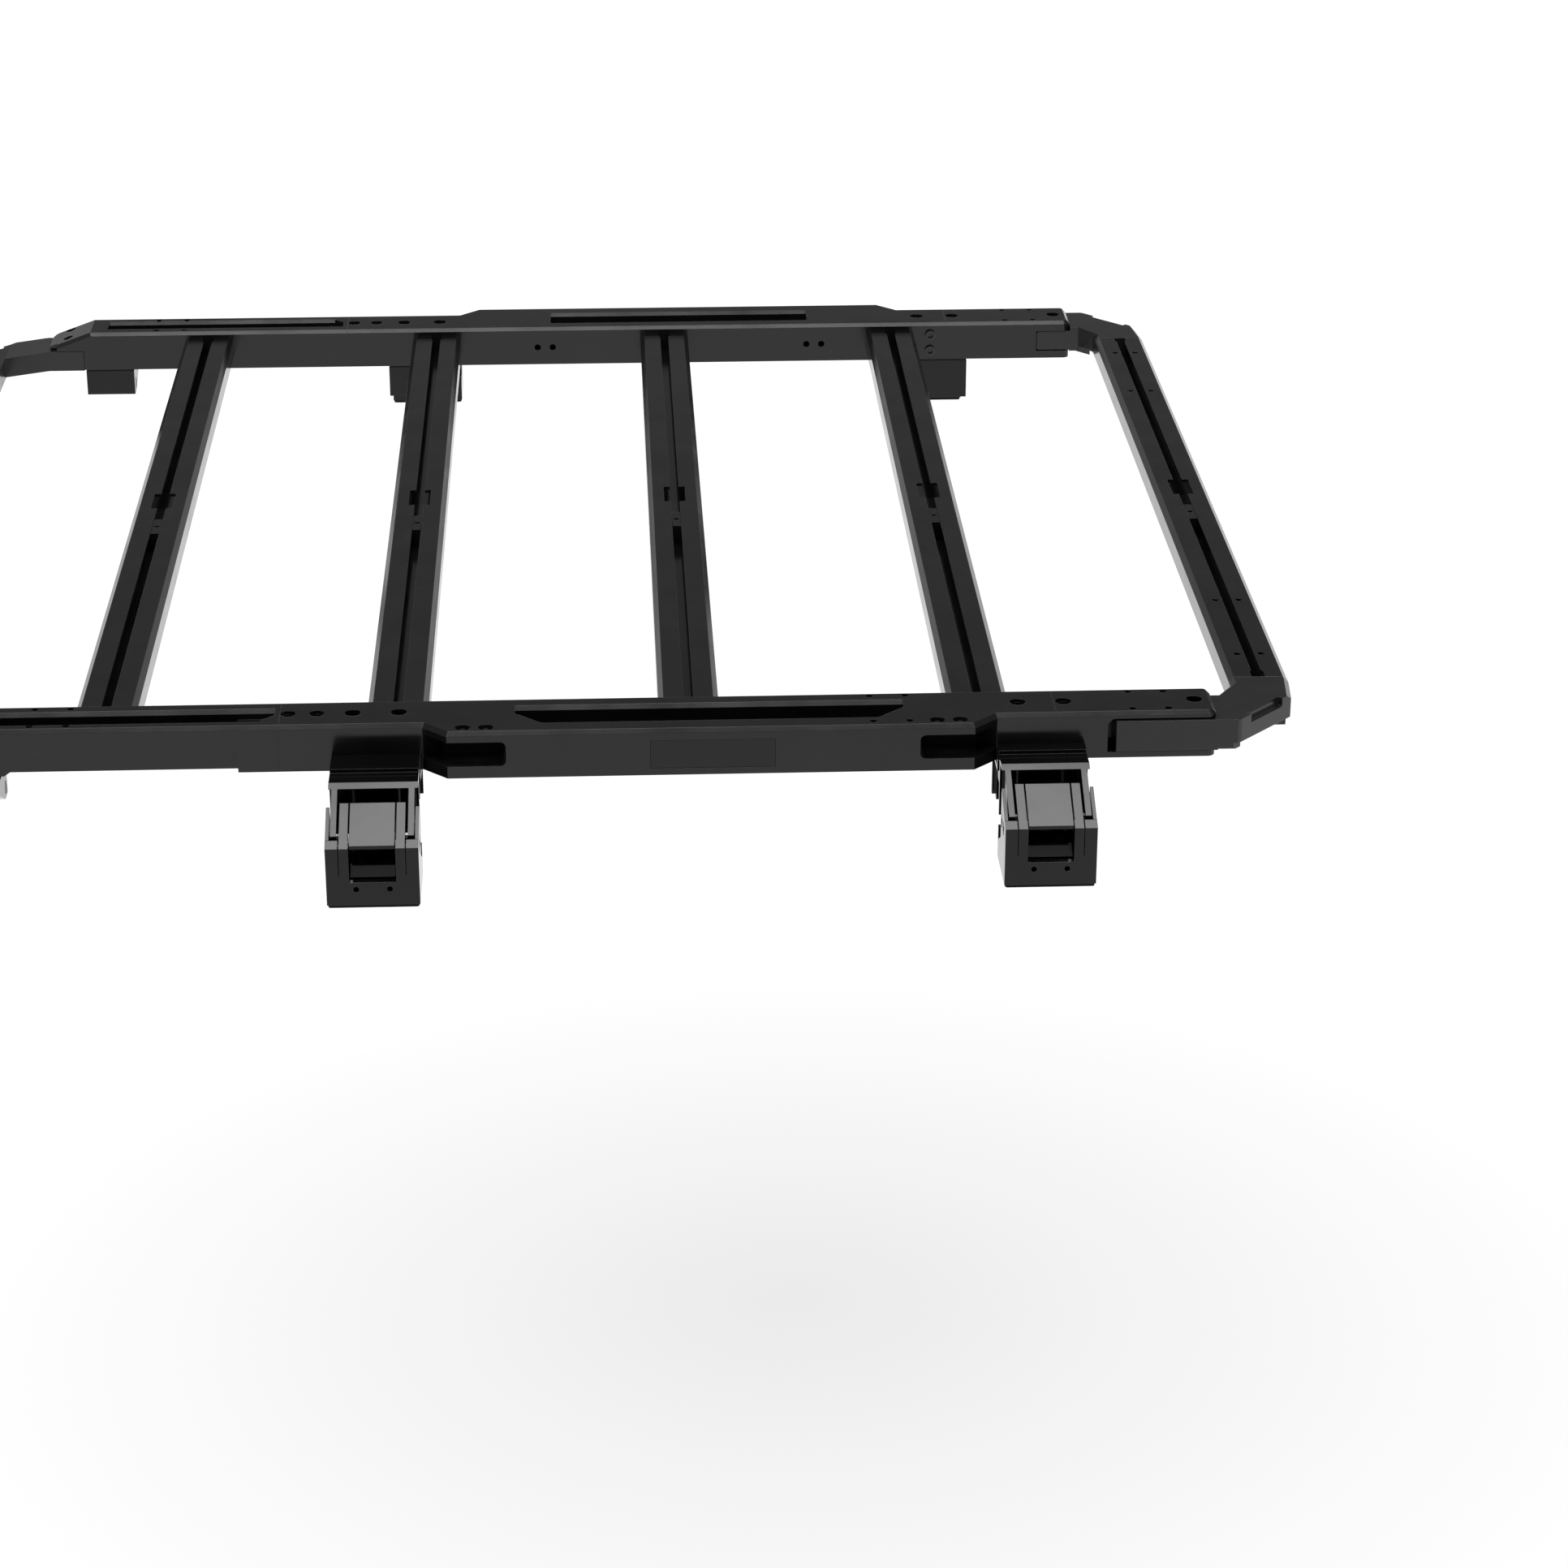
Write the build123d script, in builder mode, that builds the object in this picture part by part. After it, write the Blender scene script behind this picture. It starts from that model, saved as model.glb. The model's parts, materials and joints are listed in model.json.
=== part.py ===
from build123d import *
import os

# Six-bar ladder rack on two sectional side rails, with four tall feet and two short ones.
# +X points to the rear of the vehicle, +Y to its right side, +Z up.
# The origin is on the ground under the middle of the rack.

os.makedirs("parts", exist_ok=True)

SIDES = {"left": -1, "right": 1}

# ---- driving dimensions, mm ----
RAIL_TOP = 136.0            # rail top above the ground that the tall feet stand on
RAIL_INNER = 618.0          # rail inner face, from the middle of the rack
RAIL_OUTER = 680.0
RAIL_HEIGHT = 48.0
RAIL_WALL = 4.0
RAIL_CHAMFER = 4.0
SEAM_FRONT = -256.5         # where the front and middle sections meet
SEAM_REAR = 502.0
NOSE_TIP = -631.0
NOSE_START = -579.0
NOSE_DROP = 19.0
RAIL_END = 660.0
SHOULDER_OUTER = 704.0      # outer face of the thick middle of the rail
SHOULDER_FRONT = -117.0
SHOULDER_REAR = 444.0
SHOULDER_RUN = 24.0

BAR_PITCH = 287.0
BAR_COUNT = 6
BAR_WIDTH = 60.0
BAR_HEIGHT = 25.0
BAR_DROP = 8.5              # bar top below rail top
FRONT_BAR_DROP = 31.5       # the front bar hangs lower
BAR_CHAMFER = 5.2
SLOT_WIDTH = 10.0
SLOT_DEPTH = 20.0
LIP = 3.5
CHANNEL_WIDTH = 24.0
END_BAR_HALF = 572.0        # half length of the front and rear bars

HOLE_LINE = 648.7           # row of large holes, from the middle of the rack
HOLE_RADIUS = 8.0
PORT_RADIUS = 7.5
SCREW_RADIUS = 3.65
SCREW_LINES = (627.0, 670.4)
SHOULDER_HOLE_LINE = 691.5

FOOT_X = {"middle": -163.0, "rear": 487.4}
FOOT_REACH = {"middle": 808.0, "rear": 790.0}
FOOT_WIDTH = 89.0
SLOPE_RUN = 70.0            # the sloping cut of a foot
SLOPE_FALL = 38.8
FRONT_FOOT_X = -558.5
FRONT_FOOT_WIDTH = 60.0
PAD_THICKNESS = 6.0
SOLE_THICKNESS = 3.0

RAIL_BOTTOM = RAIL_TOP - RAIL_HEIGHT
CORE_INNER = RAIL_INNER + RAIL_WALL
CORE = (RAIL_BOTTOM + RAIL_WALL, RAIL_TOP - RAIL_WALL)
BAR_TOP = RAIL_TOP - BAR_DROP
FRONT_BAR_TOP = RAIL_TOP - FRONT_BAR_DROP
BAR_XS = [BAR_PITCH * (i - (BAR_COUNT - 1) / 2) for i in range(BAR_COUNT)]
FRONT_BAR_X = BAR_XS[0]
REAR_BAR_X = BAR_XS[-1]


# ---- prisms, blocks and holes ----
def outline(plane, points):
    with BuildSketch(plane) as face:
        with BuildLine():
            Polyline(*points, close=True)
        make_face()
    return face.sketch


def prism_x(points, x0, x1, mode=Mode.ADD):
    """Extrude a (y, z) outline between two x planes."""
    extrude(outline(Plane.YZ.offset(min(x0, x1)), points), amount=abs(x1 - x0), mode=mode)


def prism_y(points, y0, y1, mode=Mode.ADD):
    """Extrude an (x, z) outline between two y planes."""
    extrude(outline(Plane.XZ.offset(-max(y0, y1)), points), amount=abs(y1 - y0), mode=mode)


def prism_z(points, z0, z1, mode=Mode.ADD):
    """Extrude an (x, y) outline between two z planes."""
    extrude(outline(Plane.XY.offset(min(z0, z1)), points), amount=abs(z1 - z0), mode=mode)


def block(xs, ys, zs, mode=Mode.ADD):
    """Box between two corners, given as three pairs in any order."""
    pairs = (xs, ys, zs)
    with Locations(tuple((a + b) / 2 for a, b in pairs)):
        Box(*(abs(b - a) for a, b in pairs), mode=mode)


def rods(spots, radius, length, rotation, mode):
    with Locations(*spots):
        Cylinder(radius, length, rotation=rotation, mode=mode)


def rod_x(spots, radius, x0, x1, mode=Mode.ADD):
    rods([((x0 + x1) / 2, y, z) for y, z in spots], radius, abs(x1 - x0), (0, 90, 0), mode)


def rod_y(spots, radius, y0, y1, mode=Mode.ADD):
    rods([(x, (y0 + y1) / 2, z) for x, z in spots], radius, abs(y1 - y0), (90, 0, 0), mode)


def rod_z(spots, radius, z0, z1, mode=Mode.ADD):
    rods([(x, y, (z0 + z1) / 2) for x, y in spots], radius, abs(z1 - z0), (0, 0, 0), mode)


def plan(points, side):
    """(x, distance from the middle) points as (x, y) on one side of the rack."""
    return [(x, side * v) for x, v in points]


def section(points, side):
    """(distance from the middle, z) points as (y, z) on one side of the rack."""
    return [(side * v, z) for v, z in points]


def span(side, v0, v1):
    return (side * v0, side * v1)


def save(builder, name):
    builder.part.label = name
    export_step(builder.part, f"parts/{name}.step")


# ---- side rails ----
FRONT_SLOT = (-559.0, -262.0)
FRONT_SLOT_LINE = (634.0, 663.5)
FRONT_SLOT_CUT = 12.0
SCREWS_FRONT = (-497.0, -461.8)
SCREWS_REAR = (578.0, 613.2)
PANEL_DEPTH = 10.0                  # recessed lower panel of the front section
NOSE_SEAT = RAIL_TOP - 23.3
NOSE_CUT = -588.0
NOSE_ROUND = 16.0
NOSE_HOLES = [(-609.0, v) for v in (636.0, 670.0)]
ROOF_DRILL = 12.0                   # deep enough to open a top hole into the core
SLOT_FLOOR = RAIL_TOP - 30.0        # strap slots, above the low chamber
LOW_CHAMBER = RAIL_TOP - 33.0       # top of the rail's chamber under the strap slots
SPLICE_ROOM = -297.0                # the front section's core is tall only behind this, around the splice
SPLICE_ROOF = RAIL_TOP - 12.0
HEAD_ROOM_RADIUS = 6.6              # room for the crossbar bolts' heads, reached from the chamber
HEAD_ROOM_DEPTH = 7.0

MIDDLE_SLOT = (0.0, 326.0)
MIDDLE_SLOT_LINE = (637.0, 682.0)
SLOT_RUNOUT = 27.5                  # tapered ends of the left rail's slot
SLOT_SCREW_XS = (321.8, 357.0)      # accessory screws around the left slot's rear end
POCKET = (RAIL_TOP - 35.6, RAIL_TOP - 10.6)
POCKET_BACK = 665.0
POCKET_RADIUS = 5.5
ACCESSORY_XS = (-16.6, 2.4, 324.4, 343.3)
BADGE = ((104.0, 226.0), (RAIL_TOP - 41.0, RAIL_TOP - 11.5))
BADGE_DEPTH = 1.5

SPLICE_HALF = 38.0
SPLICE_OUTER = 660.0
SPLICE_TOP = RAIL_TOP - 13.0
SPLICE_BOLT_X = 20.0                # from the seam
SPLICE_BOLT_ZS = (RAIL_TOP - 15.6, RAIL_TOP - 36.1)
BOTTOM_SCREW_LINE = 641.0

BOLT_RADIUS = 4.0
BOLT_DX = 20.0                      # crossbar bolts, from the bar's middle line
BRACKET_BOLT_DX = 22.0
BRACKET_BOLT_LINE = 668.0
FRONT_FOOT_BOLTS = [(-572.0, 652.0), (-543.0, 652.0)]


def bottom_screw_holes(xs, side, line=BOTTOM_SCREW_LINE):
    """Countersunk holes through the bottom wall, as straight counterbores."""
    spots = plan([(x, line) for x in xs], side)
    rod_z(spots, 4.2, RAIL_BOTTOM - 1, CORE[0] + 1, Mode.SUBTRACT)
    rod_z(spots, 6.8, RAIL_BOTTOM - 1, RAIL_BOTTOM + 3, Mode.SUBTRACT)


def bracket_bolt_holes(spots, side):
    rod_z(plan(spots, side), 4.3, RAIL_BOTTOM - 1, CORE[0] + 1, Mode.SUBTRACT)


def bar_bolt_holes(x, side):
    """Two holes through the rail's inner wall for one crossbar, and rooms for the heads, open below."""
    z = BAR_TOP - BAR_HEIGHT / 2
    r = HEAD_ROOM_RADIUS
    ys = span(side, CORE_INNER, CORE_INNER + HEAD_ROOM_DEPTH)
    for bolt_x in (x - BOLT_DX, x + BOLT_DX):
        rod_y([(bolt_x, z)], BOLT_RADIUS + 0.3, *span(side, RAIL_INNER - 1, CORE_INNER + 1), Mode.SUBTRACT)
        rod_y([(bolt_x, z)], r, *ys, Mode.SUBTRACT)
        block((bolt_x - r, bolt_x + r), ys, (LOW_CHAMBER - 1, z), Mode.SUBTRACT)


def top_slot(side, xs, line, floor):
    """Strap slot in the rail top with a 45 degree lead-in on both long sides."""
    v0, v1 = line
    lead = RAIL_CHAMFER
    mouth = [(v0, RAIL_TOP), (v1, RAIL_TOP), (v1 - lead, RAIL_TOP - lead), (v0 + lead, RAIL_TOP - lead)]
    prism_x(section(mouth, side), *xs, Mode.SUBTRACT)
    block(xs, span(side, v0 + lead, v1 - lead), (floor, RAIL_TOP), Mode.SUBTRACT)


def chamfer_along(builder, faces_at):
    """Chamfer the top edges that run along X on the faces at the given distances."""
    edges = builder.edges().filter_by(
        lambda e: any(abs(abs(e.center().Y) - v) < 0.1 for v in faces_at)
        and e.center().Z > RAIL_TOP - NOSE_DROP / 2 - 1
        and e.length > 20)
    chamfer(edges, RAIL_CHAMFER)


def make_rail_front(name, side):
    top, bottom = RAIL_TOP, RAIL_BOTTOM
    x0, x1 = FRONT_SLOT
    v0, v1 = FRONT_SLOT_LINE
    profile = [(SEAM_FRONT, top), (NOSE_START, top), (NOSE_TIP, top - NOSE_DROP), (NOSE_TIP, NOSE_SEAT),
               (NOSE_CUT, NOSE_SEAT), (NOSE_CUT, bottom), (SEAM_FRONT, bottom)]
    panel = [(-525, bottom - 1), (-486, top - 22.5), (-302, top - 22.5), (-297, top - 27.5), (-297, bottom - 1)]
    with BuildPart() as rail:
        prism_y(profile, *span(side, RAIL_INNER, RAIL_OUTER))
        chamfer_along(rail, (RAIL_INNER, RAIL_OUTER))
        tip = rail.edges().filter_by(Axis.Z).filter_by(
            lambda e: abs(e.center().X - NOSE_TIP) < 0.1 and abs(e.center().Y) > RAIL_OUTER - 5)
        fillet(tip, NOSE_ROUND)
        block((NOSE_TIP, NOSE_TIP + 9), span(side, RAIL_INNER, RAIL_INNER + 9), (NOSE_SEAT, NOSE_SEAT + 8),
              Mode.SUBTRACT)
        block((-580, SEAM_FRONT + 1), span(side, CORE_INNER, 665), (CORE[0], LOW_CHAMBER), Mode.SUBTRACT)
        block((SPLICE_ROOM, SEAM_FRONT + 1), span(side, CORE_INNER, 665), (CORE[0], SPLICE_ROOF), Mode.SUBTRACT)
        # strap slot, whose rear end is cut across its outer corner
        shallow = SPLICE_ROOF + 2
        top_slot(side, (x0, x1 - FRONT_SLOT_CUT), (v0, v1 + RAIL_CHAMFER), shallow)
        block((x0, SPLICE_ROOM - 2), span(side, v0 + 4, v1), (SLOT_FLOOR, shallow), Mode.SUBTRACT)
        end = [(x1 - FRONT_SLOT_CUT - 1, v0 + 4), (x1, v0 + 4), (x1, v1 - FRONT_SLOT_CUT),
               (x1 - FRONT_SLOT_CUT, v1), (x1 - FRONT_SLOT_CUT - 1, v1)]
        prism_z(plan(end, side), shallow, top, Mode.SUBTRACT)
        prism_x(section([(v0, top), (v0 + 6, top), (v0 + 4, top - 4)], side),
                x1 - FRONT_SLOT_CUT - 1, x1, Mode.SUBTRACT)
        # recessed lower panel with a slanted front end
        prism_y(panel, *span(side, RAIL_OUTER - PANEL_DEPTH, RAIL_OUTER + 1), Mode.SUBTRACT)
        rod_z(plan([(x, v) for x in SCREWS_FRONT for v in SCREW_LINES], side), SCREW_RADIUS,
              top - ROOF_DRILL, top, Mode.SUBTRACT)
        rod_z(plan(NOSE_HOLES, side), 6.2, NOSE_SEAT - 1, top, Mode.SUBTRACT)
        bar_bolt_holes(BAR_XS[1], side)
        bottom_screw_holes([SEAM_FRONT - SPLICE_BOLT_X], side)
        bracket_bolt_holes(FRONT_FOOT_BOLTS, side)
    save(rail, f"rail_front_{name}")


def pocket(side, far, near, apex):
    """Strap pocket between the shoulder's shelves. Its open end runs out in a point."""
    low, high = POCKET
    r = POCKET_RADIUS
    start = far - r if far > apex and far < 0 else far + r
    mouth = [(apex, RAIL_OUTER), (near, POCKET_BACK), (start, POCKET_BACK),
             (start, SHOULDER_OUTER + 1), (apex, SHOULDER_OUTER + 1)]
    prism_z(plan(mouth, side), low, high, Mode.SUBTRACT)
    ys = span(side, POCKET_BACK, SHOULDER_OUTER + 1)
    block((far, start), ys, (low + r, high - r), Mode.SUBTRACT)
    rod_y([(start, low + r), (start, high - r)], r, *ys, Mode.SUBTRACT)


def slot_runout(side, end, out):
    """Shallow tapered end that leads the slot out to a point."""
    v0, v1 = MIDDLE_SLOT_LINE
    tip = end + out * SLOT_RUNOUT
    taper = [(end - out, v0 + 4), (tip, v0 + 4), (tip, 657), (end + out * 2, v1 - 0.5), (end - out, v1 - 0.5)]
    prism_z(plan(taper, side), RAIL_TOP - 22, RAIL_TOP, Mode.SUBTRACT)
    prism_x(section([(v0, RAIL_TOP), (v0 + 6, RAIL_TOP), (v0 + 4, RAIL_TOP - 4)], side),
            end - out, tip, Mode.SUBTRACT)


def make_rail_middle(name, side):
    top, bottom = RAIL_TOP, RAIL_BOTTOM
    footprint = [(SEAM_FRONT, RAIL_INNER), (SEAM_REAR, RAIL_INNER), (SEAM_REAR, RAIL_OUTER),
                 (SHOULDER_REAR, RAIL_OUTER), (SHOULDER_REAR - SHOULDER_RUN, SHOULDER_OUTER),
                 (SHOULDER_FRONT + SHOULDER_RUN, SHOULDER_OUTER), (SHOULDER_FRONT, RAIL_OUTER),
                 (SEAM_FRONT, RAIL_OUTER)]
    # the hollow core is low and narrow under the strap slot and behind the two pockets
    cores = [(SEAM_FRONT - 1, -125, 676, CORE[1]), (-126, 452, POCKET_BACK - 5, LOW_CHAMBER),
             (451, SEAM_REAR + 1, 676, CORE[1])]
    with BuildPart() as rail:
        prism_z(plan(footprint, side), bottom, top)
        rim = rail.faces().sort_by(Axis.Z)[-1].edges()
        chamfer(rim.filter_by(lambda e: abs(e.tangent_at(0.5).X) > 0.5), RAIL_CHAMFER)
        for x0, x1, outer, roof in cores:
            block((x0, x1), span(side, CORE_INNER, outer), (CORE[0], roof), Mode.SUBTRACT)
        top_slot(side, MIDDLE_SLOT, MIDDLE_SLOT_LINE, SLOT_FLOOR)
        if name == "left":
            slot_runout(side, MIDDLE_SLOT[0], -1)
            slot_runout(side, MIDDLE_SLOT[1], 1)
            rod_z(plan([(x, SHOULDER_HOLE_LINE) for x in (-77.6, -55.0, 384.0, 406.5)], side),
                  PORT_RADIUS, POCKET[1] - 1, top, Mode.SUBTRACT)
            rod_z(plan([(x, v) for x in SLOT_SCREW_XS for v in (SCREW_LINES[0], SHOULDER_HOLE_LINE)], side),
                  SCREW_RADIUS, top - ROOF_DRILL, top, Mode.SUBTRACT)
        rod_z(plan([(x, HOLE_LINE) for x in (-248.6, -220.5)], side), PORT_RADIUS,
              top - ROOF_DRILL, top, Mode.SUBTRACT)
        rod_z(plan([(x, HOLE_LINE) for x in (-185.6, -140.6, 466.6)], side), HOLE_RADIUS,
              top - ROOF_DRILL, top, Mode.SUBTRACT)
        pocket(side, -36, -98, SHOULDER_FRONT)
        pocket(side, 367, 425, SHOULDER_REAR)
        block(BADGE[0], span(side, SHOULDER_OUTER - BADGE_DEPTH, SHOULDER_OUTER + 1), BADGE[1], Mode.SUBTRACT)
        rod_y([(x, top - 25.7) for x in ACCESSORY_XS], 4.0,
              *span(side, RAIL_INNER - 1, CORE_INNER + 8), Mode.SUBTRACT)
        rod_y([(SEAM_REAR - SPLICE_BOLT_X, z) for z in SPLICE_BOLT_ZS], 4.2,
              *span(side, RAIL_INNER - 1, CORE_INNER + 1), Mode.SUBTRACT)
        for x in BAR_XS[2:5]:
            bar_bolt_holes(x, side)
        bottom_screw_holes([SEAM_FRONT + SPLICE_BOLT_X], side)
        for x in FOOT_X.values():
            spots = [(x - BRACKET_BOLT_DX, BRACKET_BOLT_LINE), (x + BRACKET_BOLT_DX, BRACKET_BOLT_LINE)]
            bracket_bolt_holes([spot for spot in spots if spot[0] < SEAM_REAR], side)
    save(rail, f"rail_middle_{name}")


ARM_TIP = 561.0                     # corner casting's long outer arm
ARM_LINE = (662.0, 683.0)
ARM_BOTTOM = RAIL_TOP - 40.5
ARM_POCKET = (RAIL_TOP - 42.0, RAIL_TOP - 7.0)
TONGUE_X = 618.5                    # tongue through the end of the rail
TONGUE = (RAIL_TOP - 38.0, RAIL_TOP - 13.5)
TONGUE_GAP = 0.8
TONGUE_ROUND = 3.0
CORNER_SCREWS = [(640.0, 632.0), (640.0, 652.0)]


def make_rail_rear(name, side):
    top, bottom = RAIL_TOP, RAIL_BOTTOM
    with BuildPart() as rail:
        block((SEAM_REAR, RAIL_END), span(side, RAIL_INNER, RAIL_OUTER), (bottom, top))
        fillet(rail.edges().filter_by(Axis.Z).group_by(Axis.X)[-1], 8)
        rim = rail.faces().sort_by(Axis.Z)[-1].edges()
        chamfer(rim.filter_by(lambda e: e.center().X > SEAM_REAR + 1), RAIL_CHAMFER)
        block((SEAM_REAR - 1, 545), span(side, CORE_INNER, 676), CORE, Mode.SUBTRACT)
        block((544, 612), span(side, CORE_INNER, 656), CORE, Mode.SUBTRACT)
        # open pocket for the corner's outer arm, and the seat for its tongue
        pocket_side = [(553, ARM_POCKET[0]), (553, ARM_POCKET[1] - 5), (558, ARM_POCKET[1]),
                       (RAIL_END + 1, ARM_POCKET[1]), (RAIL_END + 1, ARM_POCKET[0])]
        prism_y(pocket_side, *span(side, ARM_LINE[0] - 1, RAIL_OUTER + 1), Mode.SUBTRACT)
        gap = TONGUE_GAP
        block((TONGUE_X - gap, RAIL_END + 1), span(side, RAIL_INNER - 1, RAIL_OUTER + 1),
              (TONGUE[0] - gap, TONGUE[1] + gap), Mode.SUBTRACT)
        rod_z(plan([(511.6, HOLE_LINE), (641.2, HOLE_LINE)], side), HOLE_RADIUS,
              top - ROOF_DRILL, top, Mode.SUBTRACT)
        rod_z(plan([(x, v) for x in SCREWS_REAR for v in SCREW_LINES], side), SCREW_RADIUS,
              top - 6.5, top, Mode.SUBTRACT)
        bottom_screw_holes([SEAM_REAR + SPLICE_BOLT_X], side)
        spots = plan(CORNER_SCREWS, side)
        rod_z(spots, 4.2, bottom - 1, TONGUE[0], Mode.SUBTRACT)
        rod_z(spots, 6.8, bottom - 1, bottom + 3, Mode.SUBTRACT)
        bracket_bolt_holes([(FOOT_X["rear"] + BRACKET_BOLT_DX, BRACKET_BOLT_LINE)], side)
    save(rail, f"rail_rear_{name}")


def make_splice(name, end, seam, side):
    """Solid bar inside the rail, across the seam of two sections."""
    gap = 0.2
    with BuildPart() as splice:
        block((seam - SPLICE_HALF, seam + SPLICE_HALF), span(side, CORE_INNER + gap, SPLICE_OUTER - gap),
              (CORE[0] + gap, SPLICE_TOP))
        fillet(splice.edges().filter_by(Axis.Y), 2)
        screws = [seam + SPLICE_BOLT_X]
        if end == "rear":
            rod_y([(seam - SPLICE_BOLT_X, z) for z in SPLICE_BOLT_ZS], BOLT_RADIUS,
                  *span(side, CORE_INNER, CORE_INNER + 21), Mode.SUBTRACT)
        else:
            screws.append(seam - SPLICE_BOLT_X)
        rod_z(plan([(x, BOTTOM_SCREW_LINE) for x in screws], side), BOLT_RADIUS,
              CORE[0], CORE[0] + 21, Mode.SUBTRACT)
    save(splice, f"splice_{end}_{name}")


def flush_screws(spots, tip):
    """Screws from below, heads flush in the rail's bottom wall."""
    rod_z(spots, BOLT_RADIUS - 0.1, RAIL_BOTTOM + 1, tip)
    rod_z(spots, 6.5, RAIL_BOTTOM + 0.3, RAIL_BOTTOM + 2.9)
    rod_z(spots, 2.6, RAIL_BOTTOM, RAIL_BOTTOM + 2.2, Mode.SUBTRACT)


def make_splice_screws():
    """Socket screws on the inner faces, and flush screws under the rails."""
    with BuildPart() as screws:
        for side in SIDES.values():
            spots = [(SEAM_REAR - SPLICE_BOLT_X, z) for z in SPLICE_BOLT_ZS]
            rod_y(spots, BOLT_RADIUS - 0.1, *span(side, RAIL_INNER - 1, CORE_INNER + 20))
            rod_y(spots, 6.2, *span(side, RAIL_INNER - 4.5, RAIL_INNER))
            rod_y(spots, 3.7, *span(side, RAIL_INNER - 5, RAIL_INNER - 1), Mode.SUBTRACT)
            xs = (SEAM_FRONT - SPLICE_BOLT_X, SEAM_FRONT + SPLICE_BOLT_X, SEAM_REAR + SPLICE_BOLT_X)
            flush_screws(plan([(x, BOTTOM_SCREW_LINE) for x in xs], side), CORE[0] + 20)
    save(screws, "splice_screws")


def make_corner_screws():
    """Flush screws into the rear corners' tongues, and screws in the noses."""
    with BuildPart() as screws:
        for side in SIDES.values():
            flush_screws(plan(CORNER_SCREWS, side), TONGUE[0] + 12)
            spots = plan(NOSE_HOLES, side)
            rod_z(spots, 2.9, FRONT_ARM_TOP - 16, FRONT_ARM_TOP + 1)
            rod_z(spots, 4.8, FRONT_ARM_TOP + 0.1, FRONT_ARM_TOP + 5)
            rod_z(spots, 2.2, FRONT_ARM_TOP + 2, FRONT_ARM_TOP + 6, Mode.SUBTRACT)
    save(screws, "corner_screws")


def make_name_plate(name, side):
    """Blank plate in its shallow recess on the shoulder."""
    (x0, x1), (z0, z1) = BADGE
    gap = 0.3
    with BuildPart() as plate:
        block((x0 + gap, x1 - gap), span(side, SHOULDER_OUTER - BADGE_DEPTH, SHOULDER_OUTER - 0.3),
              (z0 + gap, z1 - gap))
    save(plate, f"name_plate_{name}")


# ---- crossbars ----
CHAMBER = (14.5, 26.5)              # side chambers of the bar, from its middle line
CHAMBER_FLOOR = 3.0
CHAMBER_HEIGHT = 14.5
PLUG_LENGTH = 36.0
DROP_IN = (-20.5, 29.5)             # window where a block drops into the slot
END_RELIEF = (14.0, 12.0)           # width and length of the wider slot ends
END_BAR_HOLES = (-509.4, -356.0, 356.0, 509.4)
END_BAR_HOLE_DX = 12.35
BLOCK_Y = (-101.0, -56.0)           # sliding block at rest


def bar_outline(x, top):
    """Crossbar section, with the slot and its channel open to the top."""
    half, c = BAR_WIDTH / 2, BAR_CHAMFER
    neck, channel = SLOT_WIDTH / 2, CHANNEL_WIDTH / 2
    right = [(channel, top - SLOT_DEPTH), (channel, top - LIP), (neck, top - LIP), (neck, top),
             (half - c, top), (half, top - c), (half, top - BAR_HEIGHT)]
    left = [(-u, z) for u, z in reversed(right)]
    return [(x + u, z) for u, z in right + left]


def make_crossbar(name, x, top, half_length):
    floor = top - BAR_HEIGHT + CHAMBER_FLOOR
    lip = (top - LIP - 0.5, top + 1)
    width, length = END_RELIEF
    with BuildPart() as bar:
        prism_y(bar_outline(x, top), -half_length, half_length)
        for hand in (-1, 1):
            block((x + hand * CHAMBER[0], x + hand * CHAMBER[1]), (-half_length - 1, half_length + 1),
                  (floor, floor + CHAMBER_HEIGHT), Mode.SUBTRACT)
            # wider slot end
            end = hand * half_length
            block((x - width / 2, x + width / 2), (end, end - hand * length), lip, Mode.SUBTRACT)
            rod_z([(x, end - hand * length)], width / 2, *lip, Mode.SUBTRACT)
        block((x - CHANNEL_WIDTH / 2, x + CHANNEL_WIDTH / 2), DROP_IN, lip, Mode.SUBTRACT)
        if name == "crossbar_rear":
            spots = [(x + u, y) for u in (-END_BAR_HOLE_DX, END_BAR_HOLE_DX) for y in END_BAR_HOLES]
            rod_z(spots, SCREW_RADIUS, top - LIP - 1.5, top, Mode.SUBTRACT)
    save(bar, name)


def make_slot_block(name, x, top):
    """Sliding block: a neck flush with the bar over a wide foot, with a threaded hole."""
    middle = (BLOCK_Y[0] + BLOCK_Y[1]) / 2
    neck = SLOT_WIDTH / 2 - 0.5
    foot = CHANNEL_WIDTH / 2 - 1
    with BuildPart() as slider:
        block((x - neck, x + neck), BLOCK_Y, (top - LIP - 2, top - 0.3))
        block((x - foot, x + foot), BLOCK_Y, (top - SLOT_DEPTH + 0.5, top - LIP - 0.5))
        rod_z([(x, middle)], 3.0, top - SLOT_DEPTH, top, Mode.SUBTRACT)
    save(slider, name)


def bar_ends():
    """Each crossbar end as (bar x, bar top, side, distance of the bar's end, wall that it meets)."""
    for index, x in enumerate(BAR_XS):
        top = FRONT_BAR_TOP if index == 0 else BAR_TOP
        outer = index in (0, BAR_COUNT - 1)
        for side in SIDES.values():
            yield x, top, side, END_BAR_HALF if outer else RAIL_INNER, CORNER_WALL if outer else RAIL_WALL


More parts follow.
